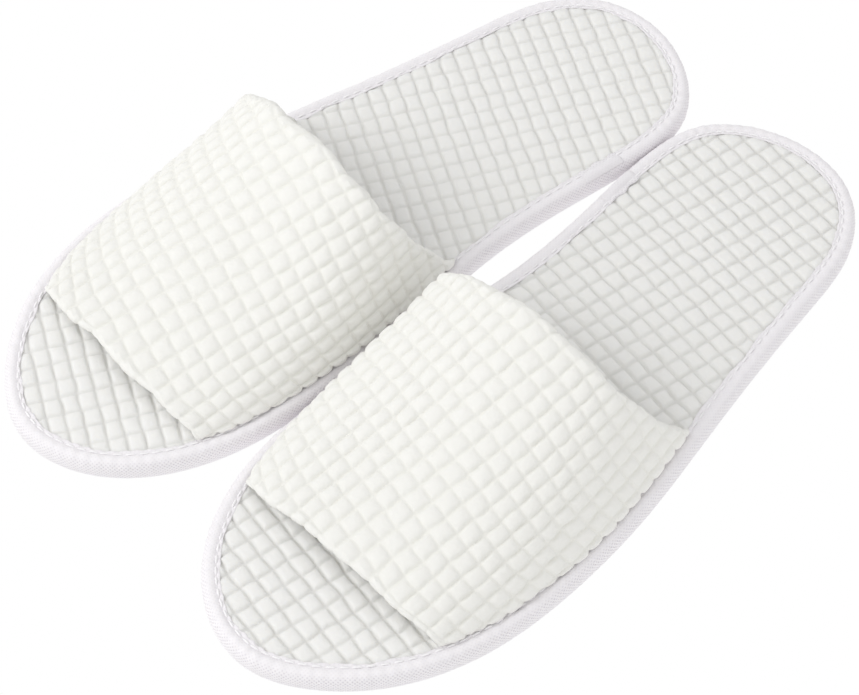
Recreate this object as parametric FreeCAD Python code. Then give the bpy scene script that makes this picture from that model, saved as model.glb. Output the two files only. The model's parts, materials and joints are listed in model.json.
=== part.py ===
"""A pair of open-toe spa slippers: padded sole, taped rim, soft arched upper.

Frame of the pair: +Z up, toes towards -Y, heels towards +Y, the wearer's right
slipper at -X and the left one at +X. The origin is on the floor, midway between
the two. Each slipper is first built as a left one in its own frame (x towards the
outside of the foot, y towards the heel), then mirrored if it is the right one.
"""
import FreeCAD
import Part
import math
import os

V = FreeCAD.Vector

# ---- driving dimensions, mm ------------------------------------------------
# Rim of the sole, from the toe tip round the outside of the foot to the heel
# and back along the inside. The spline through these points is the outline.
OUTLINE = [
    (0, -142.5), (24, -131.5), (42, -111), (52.5, -86), (56.9, -50), (55.5, -15),
    (50.2, 20), (44.5, 55), (39.8, 92), (33, 121), (18, 137.5), (-3, 142.5),
    (-24, 137), (-39, 124), (-44.8, 98), (-43.2, 62), (-43.6, 25), (-48.5, -10),
    (-52.7, -50), (-52.2, -86), (-43, -115), (-24, -136),
]
OUTLINE_STATIONS = 60      # points carried over when the outline is moved inwards

SOLE_EDGE = 1.2            # the sheets stop this far inside the tape's outer face
OUTSOLE_TOP = 3.8
FOAM_TOP = 6.3
RIM_TOP = 8.2              # insole cover where the tape clamps it
COVER_TOP = 8.8            # insole cover inside the tape
BINDING_TOP = 9.0
TAPE_UNDER = 0.8           # thickness of the tape turned under the sole
TAPE_WIDTH_TOP = 6.0
TAPE_WIDTH_UNDER = 5.0
TAPE_SLACK = 0.15          # room left round the tape
# The tape's rounded side: (height, how far inside the outline)
TAPE_SIDE = [(0.0, 1.0), (1.6, 0.25), (4.4, 0.0), (7.0, 0.45), (8.4, 1.5), (9.0, 3.0)]

STITCH_PITCH = 4.6
STITCH_LENGTH = 3.1
STITCH_RADIUS = 0.35
STITCH_INSET = 4.9         # row of stitches, measured from the outline

OVERLAP_Y = 70.0           # lapped end of the tape, on the inside of the heel
OVERLAP_LENGTH = 20.0
OVERLAP_THICKNESS = 0.5
OVERLAP_BAND = (1.5, 4.4)  # the lapped end lies between these insets

FLEX_Y = 40.0              # where the sole bends, behind the upper
FLEX_GAP = 0.3

FLEECE = 1.8               # layers of the upper, outside to inside
VAMP_FOAM = 2.2
LINING = 0.6
HEM_WIDTH = 3.0
HEM_SLACK = 0.3            # room between a hem and the layers it closes
VAMP_INSET = 6.2           # the upper's outer face meets the sole here
VAMP_ROWS = 6              # stations along the upper and round its arch
VAMP_ARCH = 16
ARCH_SAMPLES = 360         # finer points that the stations are picked from
FEET_STEP = 12.0           # spacing of the stations along the upper's feet
FEET_STEPS = range(-11, 4)

BEYOND = 400.0             # larger than any piece, for the boxes that cut them

# The shape that each soft upper has settled into. Edges are y at the inside and
# outside of the foot; bow is how far the middle of an edge lies behind its ends;
# lean is how far an edge leans to the toe per mm of height; heights are above the
# insole at the toe edge, halfway, and at the throat; square is the power that
# fills out the arch on each side; skew is how far the crest leans outwards.
VAMPS = {
    "left": {
        "front_in": -97.5, "front_out": -97.2, "front_lean": 0.35, "front_bow": 0.9,
        "rear_in": 13.5, "rear_out": 19.7, "rear_lean": 0.76, "rear_bow": 12.4,
        "heights": (10.7, 25.4, 50.0), "square_in": 0.67, "square_out": 0.52, "skew": -11.0,
    },
    "right": {
        "front_in": -100.3, "front_out": -104.1, "front_lean": 0.31, "front_bow": 0.3,
        "rear_in": 13.9, "rear_out": 10.9, "rear_lean": 0.72, "rear_bow": 8.8,
        "heights": (9.2, 22.6, 50.0), "square_in": 0.575, "square_out": 0.59, "skew": 0.7,
    },
}

# How the pair stands: heels together, toes slightly apart
SPLAY_DEG = 3.15
HALF_SPACING = 50.45
STAGGER = 0.87             # the left slipper is this far ahead, the right behind


# ---- outline of the sole ---------------------------------------------------
def closed_spline(points):
    curve = Part.BSplineCurve()
    curve.interpolate(Points=[V(x, y, 0) for x, y in points], PeriodicFlag=True)
    return curve


RIM = closed_spline(OUTLINE)


def rim_point(fraction, inset):
    """A point on the rim and the direction along it, moved inwards by inset."""
    first, last = RIM.FirstParameter, RIM.LastParameter
    u = first + (last - first) * fraction
    point, tangent = RIM.value(u), RIM.tangent(u)[0]
    return point + V(-tangent.y, tangent.x, 0) * inset, tangent


def inset_wire(inset, z):
    points = [rim_point(i / OUTLINE_STATIONS, inset)[0] for i in range(OUTLINE_STATIONS)]
    curve = closed_spline([(p.x, p.y) for p in points])
    wire = Part.Wire([curve.toShape()])
    wire.translate(V(0, 0, z))
    return wire


def slab(inset, z_low, z_high):
    face = Part.Face(inset_wire(inset, z_low))
    return face.extrude(V(0, 0, z_high - z_low))


def inside_x(y, inset, outer_side):
    """x of the inset outline at y, on the outer or the inner side of the foot."""
    best = None
    for i in range(4 * OUTLINE_STATIONS):
        a = rim_point(i / (4 * OUTLINE_STATIONS), inset)[0]
        b = rim_point((i + 1) / (4 * OUTLINE_STATIONS), inset)[0]
        if (a.y - y) * (b.y - y) <= 0 and a.y != b.y:
            x = a.x + (b.x - a.x) * (y - a.y) / (b.y - a.y)
            if best is None or (x > best) == outer_side:
                best = x
    return best


# ---- layers of the sole ----------------------------------------------------
def outsole():
    lower = slab(TAPE_WIDTH_UNDER + TAPE_SLACK, 0, TAPE_UNDER + TAPE_SLACK)
    upper = slab(SOLE_EDGE + TAPE_SLACK, TAPE_UNDER + TAPE_SLACK, OUTSOLE_TOP)
    return lower.fuse(upper).removeSplitter()


def insole_foam():
    return slab(SOLE_EDGE + TAPE_SLACK, OUTSOLE_TOP, FOAM_TOP)


def insole_cover():
    lower = slab(SOLE_EDGE + TAPE_SLACK, FOAM_TOP, RIM_TOP - TAPE_SLACK)
    upper = slab(TAPE_WIDTH_TOP + TAPE_SLACK, RIM_TOP - TAPE_SLACK, COVER_TOP)
    return lower.fuse(upper).removeSplitter()


def edge_binding():
    sections = [inset_wire(inset, z) for z, inset in TAPE_SIDE]
    body = Part.makeLoft(sections, True, False)
    body = body.cut(slab(SOLE_EDGE, TAPE_UNDER, RIM_TOP))
    body = body.cut(slab(TAPE_WIDTH_UNDER, -1, TAPE_UNDER + 1))
    return body.cut(slab(TAPE_WIDTH_TOP, RIM_TOP - 1, BINDING_TOP + 1))


def binding_stitches():
    """Short straight stitches lying on the tape, one row right round."""
    count = int(RIM.length() / STITCH_PITCH)
    stitches = []
    for i in range(count):
        point, tangent = rim_point(i / count, STITCH_INSET)
        start = point - tangent * (STITCH_LENGTH / 2)
        start.z = BINDING_TOP
        rod = Part.makeCylinder(STITCH_RADIUS, STITCH_LENGTH, start, tangent)
        stitches.append(rod)
    above_tape = Part.makeBox(BEYOND, BEYOND, BEYOND, V(-BEYOND / 2, -BEYOND / 2, BINDING_TOP))
    return [rod.common(above_tape).Solids[0] for rod in stitches]


def binding_overlap():
    """The second thickness of tape where its two ends lap."""
    outer, inner = OVERLAP_BAND
    band = slab(outer, BINDING_TOP, BINDING_TOP + OVERLAP_THICKNESS)
    band = band.cut(slab(inner, BINDING_TOP - 1, BINDING_TOP + OVERLAP_THICKNESS + 1))
    window = Part.makeBox(BEYOND, OVERLAP_LENGTH, BEYOND, V(-BEYOND, OVERLAP_Y, 0))
    return band.common(window)


def split_at_flex(shape):
    """The part ahead of the flex line and the part behind it."""
    side, low = -BEYOND / 2, -BEYOND / 2
    ahead = Part.makeBox(BEYOND, BEYOND, BEYOND, V(side, FLEX_Y - FLEX_GAP / 2 - BEYOND, low))
    behind = Part.makeBox(BEYOND, BEYOND, BEYOND, V(side, FLEX_Y + FLEX_GAP / 2, low))
    return shape.common(ahead).Solids[0], shape.common(behind).Solids[0]


def split_stitches(stitches):
    """The stitches ahead of the flex line and those behind it."""
    front = [s for s in stitches if s.BoundBox.YMax < FLEX_Y - FLEX_GAP / 2]
    heel = [s for s in stitches if s.BoundBox.YMin > FLEX_Y + FLEX_GAP / 2]
    return Part.makeCompound(front), Part.makeCompound(heel)


# ---- the upper -------------------------------------------------------------
def edge_line(shape, end, across):
    """y along an edge of the upper, before it bows and leans."""
    return shape[end + "_in"] * (1 - across) / 2 + shape[end + "_out"] * (1 + across) / 2


def vamp_skin(shape, u, angle):
    """A point on the upper's outer face: u from toe edge to throat, angle from
    the inside of the foot (0) over the arch to the outside (pi)."""
    across = -math.cos(angle)
    square = shape["square_in"] * (1 - across) / 2 + shape["square_out"] * (1 + across) / 2
    rise = math.sin(angle) ** square
    toe, middle, throat = shape["heights"]
    height = toe * (1 - u) * (1 - 2 * u) + middle * 4 * u * (1 - u) + throat * u * (2 * u - 1)
    bow = math.sin(angle) ** 2
    front = edge_line(shape, "front", across)
    front += shape["front_bow"] * bow - shape["front_lean"] * toe * rise
    rear = edge_line(shape, "rear", across)
    rear += shape["rear_bow"] * bow - shape["rear_lean"] * throat * rise
    y = front + (rear - front) * u
    inner, outer = shape["feet"](y)
    x = (inner + outer) / 2 + across * (outer - inner) / 2
    x += shape["skew"] * rise * (0.3 + 0.7 * u)
    return V(x, y, COVER_TOP + height * rise)


def feet_line(y):
    """Inner and outer x of the upper's feet at y, eased between stations."""
    low = math.floor(y / FEET_STEP) * FEET_STEP
    t = (y - low) / FEET_STEP
    a, b = FEET[low], FEET[low + FEET_STEP]
    return a[0] + (b[0] - a[0]) * t, a[1] + (b[1] - a[1]) * t


FEET = {
    FEET_STEP * k: tuple(inside_x(FEET_STEP * k, VAMP_INSET, outer) for outer in (False, True))
    for k in FEET_STEPS
}


def even_angles(shape, u, count):
    """Angles that divide the arch at u into equal lengths."""
    fine = ARCH_SAMPLES
    angles = [math.pi * (0.5 - 0.5 * math.cos(math.pi * i / fine)) for i in range(fine + 1)]
    points = [vamp_skin(shape, u, a) for a in angles]
    run = [0.0]
    for a, b in zip(points, points[1:]):
        run.append(run[-1] + (b - a).Length)
    result, i = [], 0
    for k in range(count):
        target = run[-1] * k / (count - 1)
        while i < fine - 1 and run[i + 1] < target:
            i += 1
        t = (target - run[i]) / (run[i + 1] - run[i])
        result.append(angles[i] + (angles[i + 1] - angles[i]) * t)
    return result


def vamp_offset(shape, u, angle, depth):
    """The point of the outer face at (u, angle), moved inwards by depth."""
    e = 0.002
    low, high = max(angle - e, 0.0004), min(angle + e, math.pi - 0.0004)
    along = vamp_skin(shape, min(u + e, 1.0), angle) - vamp_skin(shape, max(u - e, 0.0), angle)
    round_arch = vamp_skin(shape, u, high) - vamp_skin(shape, u, low)
    inward = along.cross(round_arch)
    inward.normalize()
    point = vamp_skin(shape, u, angle)
    if low < 0.001 or high > math.pi - 0.001:
        inward.z = 0
        inward.normalize()
    return point + inward * depth


def vamp_surface(shape, u_low, u_high, rows, depth):
    grid = []
    for r in range(rows):
        u = u_low + (u_high - u_low) * r / (rows - 1)
        angles = even_angles(shape, u, VAMP_ARCH)
        grid.append([vamp_offset(shape, u, a, depth) for a in angles])
    surface = Part.BSplineSurface()
    surface.interpolate(grid)
    return surface


def vamp_layer(shape, u_low, u_high, depth_low, depth_high, rows=VAMP_ROWS):
    """A closed solid between two depths of the upper."""
    outer = vamp_surface(shape, u_low, u_high, rows, depth_low)
    inner = vamp_surface(shape, u_low, u_high, rows, depth_high)
    faces = [outer.toShape(), inner.toShape()]
    u0, u1, v0, v1 = outer.bounds()
    a0, a1, b0, b1 = inner.bounds()
    pairs = [
        (outer.uIso(u0), inner.uIso(a0)), (outer.uIso(u1), inner.uIso(a1)),
        (outer.vIso(v0), inner.vIso(b0)), (outer.vIso(v1), inner.vIso(b1)),
    ]
    for first, second in pairs:
        faces.append(Part.makeRuledSurface(first.toShape(), second.toShape()))
    shell = Part.makeShell(faces)
    shell.sewShape()
    solid = Part.Solid(shell.Shells[0] if shell.Shells else shell)
    if solid.Volume < 0:
        solid.reverse()
    return solid


def vamp_pieces(side):
    shape = dict(VAMPS[side], feet=feet_line)
    length = shape["rear_in"] - shape["front_in"]
    hem = HEM_WIDTH / length
    edge = (HEM_WIDTH + HEM_SLACK) / length
    whole = FLEECE + VAMP_FOAM + LINING
    return {
        "vamp_fleece": vamp_layer(shape, edge, 1 - edge, 0, FLEECE),
        "vamp_foam": vamp_layer(shape, edge, 1 - edge, FLEECE, FLEECE + VAMP_FOAM),
        "vamp_lining": vamp_layer(shape, edge, 1 - edge, FLEECE + VAMP_FOAM, whole),
        "front_hem": vamp_layer(shape, 0, hem, 0, whole, rows=3),
        "throat_hem": vamp_layer(shape, 1 - hem, 1, 0, whole, rows=3),
    }


# ---- the pair --------------------------------------------------------------
def place(shape, side):
    """From a left slipper's own frame to where this slipper stands."""
    sign = 1 if side == "left" else -1
    placed = shape.copy()
    if side == "right":
        placed = placed.mirror(V(0, 0, 0), V(1, 0, 0))
    placed.rotate(V(0, 0, 0), V(0, 0, 1), sign * SPLAY_DEG)
    placed.translate(V(sign * HALF_SPACING, -sign * STAGGER, 0))
    return placed


def sole_pieces():
    """The layers of the sole, each cut in two at the flex line."""
    pieces = {}
    layers = {
        "outsole": outsole(),
        "insole_foam": insole_foam(),
        "insole_cover": insole_cover(),
        "edge_binding": edge_binding(),
    }
    halves = {name: split_at_flex(shape) for name, shape in layers.items()}
    halves["binding_stitches"] = split_stitches(binding_stitches())
    for name, (front, heel) in halves.items():
        pieces[name + "_front"] = front
        pieces[name + "_heel"] = heel
    pieces["binding_overlap"] = binding_overlap().Solids[0]
    return pieces


def export(name, shape):
    shape.exportStep(f"parts/{name}.step")
    box = shape.BoundBox
    print(f"{name:32s} solids {len(shape.Solids):3d} valid {shape.isValid()} "
          f"volume {shape.Volume:9.1f} z {box.ZMin:6.2f} to {box.ZMax:6.2f}")


os.makedirs("parts", exist_ok=True)
sole = sole_pieces()
for side in ("right", "left"):
    for name, shape in {**sole, **vamp_pieces(side)}.items():
        export(f"{side}_{name}", place(shape, side))
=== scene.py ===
"""How the pair of spa slippers looks: waffle fleece, taped rims, soft studio light.

Lengths here are millimetres in a slipper's own frame, drawn as a left slipper (x towards
the outside of the foot, y towards the heel, z up) until to_row() turns them into metres
in the part's frame. The right slipper is the same drawing mirrored.
"""
import json
import math

import bpy
import numpy as np
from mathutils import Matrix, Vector


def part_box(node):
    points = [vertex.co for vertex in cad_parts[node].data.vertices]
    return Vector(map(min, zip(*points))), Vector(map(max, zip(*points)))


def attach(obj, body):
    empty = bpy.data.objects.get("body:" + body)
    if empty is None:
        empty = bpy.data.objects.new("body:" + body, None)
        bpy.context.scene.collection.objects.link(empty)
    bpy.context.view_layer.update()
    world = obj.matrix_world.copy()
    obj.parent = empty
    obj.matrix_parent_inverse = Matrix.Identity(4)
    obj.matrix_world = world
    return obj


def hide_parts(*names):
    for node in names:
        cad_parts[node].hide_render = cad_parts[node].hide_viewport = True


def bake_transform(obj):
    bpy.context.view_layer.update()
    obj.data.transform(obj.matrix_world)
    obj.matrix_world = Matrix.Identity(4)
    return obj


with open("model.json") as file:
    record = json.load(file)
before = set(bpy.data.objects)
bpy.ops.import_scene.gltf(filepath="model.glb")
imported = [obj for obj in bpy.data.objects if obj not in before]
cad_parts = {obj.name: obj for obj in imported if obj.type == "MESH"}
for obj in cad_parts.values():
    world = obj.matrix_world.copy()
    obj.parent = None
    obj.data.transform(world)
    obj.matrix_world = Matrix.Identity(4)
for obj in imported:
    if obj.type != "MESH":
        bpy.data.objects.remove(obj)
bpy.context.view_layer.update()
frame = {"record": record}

MM = 0.001
SEEDS = {"right": 11, "left": 23}       # each slipper's own random draws
TAPE_SEED = 3              # added for its tape,
UPPER_SEED = 40            # and for its upper


# ---- what the CAD model says ----
def height_of(node, end):
    """Lowest (0) or highest (1) z of a CAD node, in millimetres."""
    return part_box(node)[end][2] / MM


FOAM_TOP = height_of("left_insole_foam_front", 1)
OUTSOLE_TOP = height_of("left_outsole_front", 1)
COVER_TOP = height_of("left_insole_cover_front", 1)

# The rim of the sole, from the toe tip round the outside of the foot
OUTLINE = [
    (0, -142.5), (24, -131.5), (42, -111), (52.5, -86), (56.9, -50), (55.5, -15),
    (50.2, 20), (44.5, 55), (39.8, 92), (33, 121), (18, 137.5), (-3, 142.5),
    (-24, 137), (-39, 124), (-44.8, 98), (-43.2, 62), (-43.6, 25), (-48.5, -10),
    (-52.7, -50), (-52.2, -86), (-43, -115), (-24, -136),
]
FLEX_Y = 40.0              # the sole's hinge, behind the upper

# The shape each upper has settled into, as the CAD model has it. Its toe edge (front) and
# its throat (rear) start at these y on the inside and outside of the foot. Higher up they
# lean towards the toes, by this part of the arch's height, and they bow towards the heel,
# by this many mm. heights are the arch's at the toe edge, in the middle and at the throat.
# square is the power of the arch's curve at its two feet, where less is squarer, and skew
# is how far its top stands off to the outside. Only the fleece has a bulge: over the tape
# its lower edges swell out by this much, on the inside and outside of the foot.
VAMPS = {
    "left": {
        "front_in": -97.5, "front_out": -97.2, "front_lean": 0.35, "front_bow": 0.9,
        "rear_in": 13.5, "rear_out": 19.7, "rear_lean": 0.76, "rear_bow": 12.4,
        "heights": (10.7, 25.4, 50.0), "square": (0.67, 0.52), "skew": -11.0,
        "bulge": (1.9, 3.9),
    },
    "right": {
        "front_in": -100.3, "front_out": -104.1, "front_lean": 0.31, "front_bow": 0.3,
        "rear_in": 13.9, "rear_out": 10.9, "rear_lean": 0.72, "rear_bow": 8.8,
        "heights": (9.2, 22.6, 50.0), "square": (0.575, 0.59), "skew": 0.7,
        "bulge": (4.6, 2.0),
    },
}
BULGE_AT = 0.11            # the bulge is widest at this part of the arch's height,
BULGE_FULL = 25            # and reaches its full size where the arch is this high
TOE_SKEW = 0.3             # this part of the sideways skew reaches the toe edge
VAMP_INSET = 6.2           # the feet of the upper stand this far inside the rim,
FEET_REACH = (-128, 125)   # along the sides of the sole, between these y
VAMP_THICK = 4.6           # its fleece, foam and lining together
ALONG_STEPS = 60           # it is measured at this many steps from toe edge to throat,
ROUND_STEPS = 200          # at this many round the arch,
ARCH_STEPS = 480           # and each arch is drawn with this many
PROBE = 0.004              # the skin's directions are read this far to either side

# ---- the fabrics ----
# How each waffle lies on its slipper. Pitch is a cell's size along and across the foot,
# turn is how far its two sets of grooves are turned towards the outside of the foot, and
# shift moves the grid by parts of a cell. Over the arch the cloth also fans out, in cells
# per square mm, curls with the square of the way along the foot, and both sets of grooves
# bow in a slow wave: (cells, centre, length). An insole's cloth is drawn a little off its
# grid at the toes: toe, in cells. Cut is how deep its two sets of grooves are pressed.
FLAT = {"fan": (0, 0), "curl": (0, 0), "bow": ((0, 0, 1), (0, 0, 1)), "toe": (0, 0)}
CLOTHS = {
    ("insole", "left"): {
        **FLAT, "pitch": (6.117, 6.939), "turn": (9.6, 11.3), "shift": (0.418, 0.364),
        "toe": (-0.16, 0.09), "cut": (0.93, 0.8)},
    ("insole", "right"): {
        **FLAT, "pitch": (5.948, 7.048), "turn": (-23.6, -23.7), "shift": (0.270, -0.105),
        "toe": (-0.49, -0.29), "cut": (0.84, 0.6)},
    ("upper", "left"): {
        **FLAT, "pitch": (6.897, 5.996), "turn": (12.51, 13.11), "shift": (0.299, 0.216),
        "fan": (-1.22e-4, 2.39e-4), "curl": (0.91e-4, -2.37e-4),
        "bow": ((0.051, -4.7, 58), (0.233, -8.6, 64)), "cut": (0.68, 1.0)},
    ("upper", "right"): {
        **FLAT, "pitch": (6.946, 5.980), "turn": (-17.86, -18.32), "shift": (0.285, 0.111),
        "fan": (-0.63e-4, 2.47e-4), "curl": (1.04e-4, 2.26e-4),
        "bow": ((0.221, 31.8, 132), (0.437, -27.0, 92)), "cut": (0.76, 1.0)},
}
TOE_DRAW = (-25.0, 60.0)   # the cloth is drawn off its grid from here, over this length
FAN_END = 3500             # the fan grows up to this many square mm from the middle,
CURL_END = 60              # and the curl up to this far along the foot
LAY_ROUNDS = 8             # rounds it takes to find where a point of the grid lies
INSOLE_CLOTH = (165, 125)  # how far the cloth is drawn, along and across the foot
UPPER_CLOTH = (110, 125)
# Where a cell's mesh lines run, in cells from its middle: closest at its grooves
CELL_STOPS = np.array([-1, -0.9, -0.77, -0.6, -0.2, 0.2, 0.6, 0.77, 0.9]) / 2
PLAIN_STOPS = np.array([-0.5, 0])
JITTER_LENGTH = 10         # the grid wanders a little over this length,
JITTER = 0.24              # by this much
PILE = 1.1                 # height of a pillow above its groove
VAMP_PROUD = 0.25          # pillow tops stand this far outside the CAD skin

TAPE_INNER = 6.0           # the tape's inner edge, from the rim
COVER_EDGE = 4.6           # the insole cover ends under the tape
STITCH_INSET = 4.9         # the row of stitches, from the rim
STITCH_PITCH = 4.6
STITCH_LENGTH = 3.1
STITCH_RADIUS = 0.36
LAP_Y = (72.0, 89.0)       # where the tape's two ends lap


# ---- curves and frames ----
SPLINE_STEPS = 60          # the spline is measured at this many steps a span
BATCH = 4000               # points measured against the rim at a time, to save memory
WAVES = 6                  # sine waves in a ripple


def closed_spline(points, count):
    """Points evenly spaced along the closed cubic spline through the given ones."""
    p = np.array(points, float)
    n = len(p)
    after = np.roll(p, -1, 0)
    chord = np.linalg.norm(after - p, axis=1)
    system = np.zeros((n, n))
    for i in range(n):
        system[i, i - 1] = chord[i - 1]
        system[i, i] = 2 * (chord[i - 1] + chord[i])
        system[i, (i + 1) % n] = chord[i]
    slope = (after - p) / chord[:, None]
    bend = np.linalg.solve(system, 6 * (slope - np.roll(slope, 1, 0)))
    t = np.linspace(0, 1, SPLINE_STEPS, endpoint=False)[None, :, None]
    a, b = 1 - t, t
    fine = a * p[:, None] + b * after[:, None] + chord[:, None, None] ** 2 / 6 * (
        (a**3 - a) * bend[:, None] + (b**3 - b) * np.roll(bend, -1, 0)[:, None])
    fine = fine.reshape(-1, 2)
    run = np.concatenate([[0], np.cumsum(np.linalg.norm(np.roll(fine, -1, 0) - fine, axis=1))])
    fine = np.vstack([fine, fine[:1]])
    at = np.arange(count) * run[-1] / count
    return np.stack([np.interp(at, run, fine[:, 0]), np.interp(at, run, fine[:, 1])], 1)


RIM_COUNT = 1440           # stations round the rim
RIM = closed_spline(OUTLINE, RIM_COUNT)
RIM_STEP = np.roll(RIM, -1, 0) - np.roll(RIM, 1, 0)
RIM_ALONG = RIM_STEP / np.linalg.norm(RIM_STEP, axis=1)[:, None]
RIM_INWARD = np.stack([-RIM_ALONG[:, 1], RIM_ALONG[:, 0]], 1)
RIM_LENGTH = float(np.linalg.norm(np.roll(RIM, -1, 0) - RIM, axis=1).sum())


def inset_of(xy):
    """How far inside the rim each point is, and the nearest station on the rim."""
    depth = np.empty(len(xy))
    nearest = np.empty(len(xy), int)
    far = (RIM**2).sum(1)
    for first in range(0, len(xy), BATCH):
        batch = slice(first, first + BATCH)
        k = (far - 2 * xy[batch] @ RIM.T).argmin(1)
        nearest[batch] = k
        depth[batch] = ((xy[batch] - RIM[k]) * RIM_INWARD[k]).sum(1)
    return depth, nearest


def slipper_frame(side):
    """Mirror sign, turn and origin of a slipper, read from its hinge in the record."""
    joints = {j["name"]: j for j in frame["record"]["behaviour"]["joints"]}
    hinge = joints[f"{side}_sole_flex"]
    sign = 1 if side == "left" else -1
    turn = math.atan2(hinge["axis"][1], hinge["axis"][0])
    pivot = np.array(hinge["pos_m"][:2]) / MM
    origin = pivot - FLEX_Y * np.array([-math.sin(turn), math.cos(turn)])
    return sign, turn, origin


def to_row(side, points):
    """From a slipper's own frame in millimetres to the part's frame in metres."""
    sign, turn, origin = slipper_frame(side)
    p = np.array(points, float)
    x, y = p[:, 0] * sign, p[:, 1]
    c, s = math.cos(turn), math.sin(turn)
    return np.stack([origin[0] + c * x - s * y, origin[1] + s * x + c * y, p[:, 2]], 1) * MM


def ripple(x, y, wavelength, seed):
    """Smooth noise between about -1 and 1, from a few sine waves in random directions."""
    random = np.random.default_rng(seed)
    total = np.zeros(np.broadcast(x, y).shape)
    for _ in range(WAVES):
        angle, phase = random.uniform(0, 2 * math.pi, 2)
        k = 2 * math.pi / (wavelength * random.uniform(0.7, 1.5))
        total += np.sin(k * (x * math.cos(angle) + y * math.sin(angle)) + phase)
    return total / (WAVES / 2)


def ease(value):
    """0 below 0, 1 above 1, and a smooth step between."""
    t = np.clip(value, 0, 1)
    return t * t * (3 - 2 * t)


# ---- meshes ----
def add_piece(name, side, points, faces, material, uv=None, fields=None):
    """A smooth mesh object from points in a slipper's own frame. uv is in metres."""
    if side == "right":
        faces = [list(reversed(f)) for f in faces]
    mesh = bpy.data.meshes.new(name)
    mesh.from_pydata(to_row(side, points).tolist(), [], faces)
    mesh.polygons.foreach_set("use_smooth", [True] * len(mesh.polygons))
    for field, values in (fields or {}).items():
        attribute = mesh.attributes.new(field, "FLOAT", "POINT")
        attribute.data.foreach_set("value", np.asarray(values, np.float32))
    if uv is not None:
        layer = mesh.uv_layers.new(name="fabric")
        corners = np.empty(len(mesh.loops), int)
        mesh.loops.foreach_get("vertex_index", corners)
        layer.data.foreach_set("uv", (np.asarray(uv)[corners] * MM).astype(np.float32).ravel())
    mesh.update()
    piece = bpy.data.objects.new(name, mesh)
    bpy.context.scene.collection.objects.link(piece)
    mesh.materials.append(material)
    return piece


def grid_faces(rows, columns):
    """The four-sided faces of a grid whose points are numbered row by row."""
    i, j = np.meshgrid(np.arange(rows - 1), np.arange(columns - 1), indexing="ij")
    a = (i * columns + j).ravel()
    return np.stack([a, a + columns, a + columns + 1, a + 1], 1)


def only_used(faces, *arrays):
    """The faces renumbered, and the arrays cut down to the points they use."""
    used, numbers = np.unique(faces, return_inverse=True)
    return (numbers.reshape(faces.shape), *[a[used] for a in arrays])


def border_edges(faces):
    """Directed edges that only one face uses."""
    edges = np.concatenate([faces[:, [k, (k + 1) % 4]] for k in range(4)])
    key = np.sort(edges, 1)
    _, first, count = np.unique(key, axis=0, return_index=True, return_counts=True)
    return edges[first[count == 1]]


def thicken(points, faces, other):
    """Closes a sheet with a second layer of points and a wall round the border."""
    n = len(points)
    a, b = border_edges(faces).T
    walls = np.stack([b, a, a + n, b + n], 1)
    return np.vstack([points, other]), np.vstack([faces, faces[:, ::-1] + n, walls])


# ---- waffle fleece ----
PILLOWS = 97               # the random pillows repeat after this many cells
FULLNESS = 0.11            # pillows are fuller or flatter by up to this part,
LEAN = 0.08                # and higher at one edge by up to this part
GROOVE_CHANGE = (0.15, 1.7)             # grooves change by this part, over this many cells
FUZZ = ((0.05, 0.33), (0.04, 0.21))     # the pile is this rough, over this many cells


def cell_lines(first, last, stops):
    """Places of the mesh lines in the cells from first to last."""
    lines = [k + stops for k in range(first, last + 1)]
    return np.concatenate(lines + [[last + 0.5]])


def pillow(a, b, seed, groove, crown, cut):
    """Height from 0 where grooves cross to about 1 on a pillow, at cell coordinates a and b.
    groove is half a groove's width in cells, crown how round the pillow's top is, and cut
    how deep the grooves that run across and along the foot are."""
    random = np.random.default_rng(seed)
    size = random.uniform(-1, 1, (3, PILLOWS, PILLOWS))
    ka, kb = np.rint(a).astype(int), np.rint(b).astype(int)
    fa, fb = 2 * (a - ka), 2 * (b - kb)
    full, lean_a, lean_b = size[:, ka % PILLOWS, kb % PILLOWS]
    uneven = 1 + GROOVE_CHANGE[0] * ripple(a, b, GROOVE_CHANGE[1], seed + 3)
    dome = 1 - crown * (fa**2 + fb**2) / 2
    for side, deep in zip((fa, fb), cut):
        dome = dome * (1 - deep * uneven * np.exp(-((1 - abs(side)) / 2 / groove) ** 2))
    (coarse, coarse_length), (fine, fine_length) = FUZZ
    fuzz = (coarse * ripple(a, b, coarse_length, seed + 4)
            + fine * ripple(a, b, fine_length, seed + 6))
    return dome * (1 + FULLNESS * full + LEAN * lean_a * fa + LEAN * lean_b * fb) + fuzz


def lay_out(cloth, a, b):
    """Where a point of the cloth's grid lies: (across, along) the foot."""
    turn_a, turn_b = np.radians(cloth["turn"])
    across = along = 0 * a
    for _ in range(LAY_ROUNDS):
        spread = np.clip(across * along, -FAN_END, FAN_END)
        square = np.clip(along, -CURL_END, CURL_END) ** 2
        toe = ease((TOE_DRAW[0] - along) / TOE_DRAW[1])
        reach = []
        for k, cell in enumerate((a, b)):
            cells, centre, length = cloth["bow"][k]
            moved = (cloth["shift"][k] + cloth["fan"][k] * spread + cloth["toe"][k] * toe
                     + cloth["curl"][k] * square
                     + cells * np.cos(2 * math.pi * (across - centre) / length))
            reach.append((cell - moved) * cloth["pitch"][k])
        u, v = reach
        along = (u * math.cos(turn_b) - v * math.sin(turn_a)) / math.cos(turn_a - turn_b)
        across = (u * math.sin(turn_b) + v * math.cos(turn_a)) / math.cos(turn_a - turn_b)
    return across, along


def cloth_grid(cloth, stops, reach):
    """Cell coordinates, flat places and faces of a piece that covers the reach."""
    ka, kb = (int(far / pitch) + 1 for far, pitch in zip(reach, cloth["pitch"]))
    a, b = np.meshgrid(cell_lines(-ka, ka, stops), cell_lines(-kb, kb, stops), indexing="ij")
    faces = grid_faces(*a.shape)
    a, b = a.ravel(), b.ravel()
    return a, b, *lay_out(cloth, a, b), faces


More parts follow.
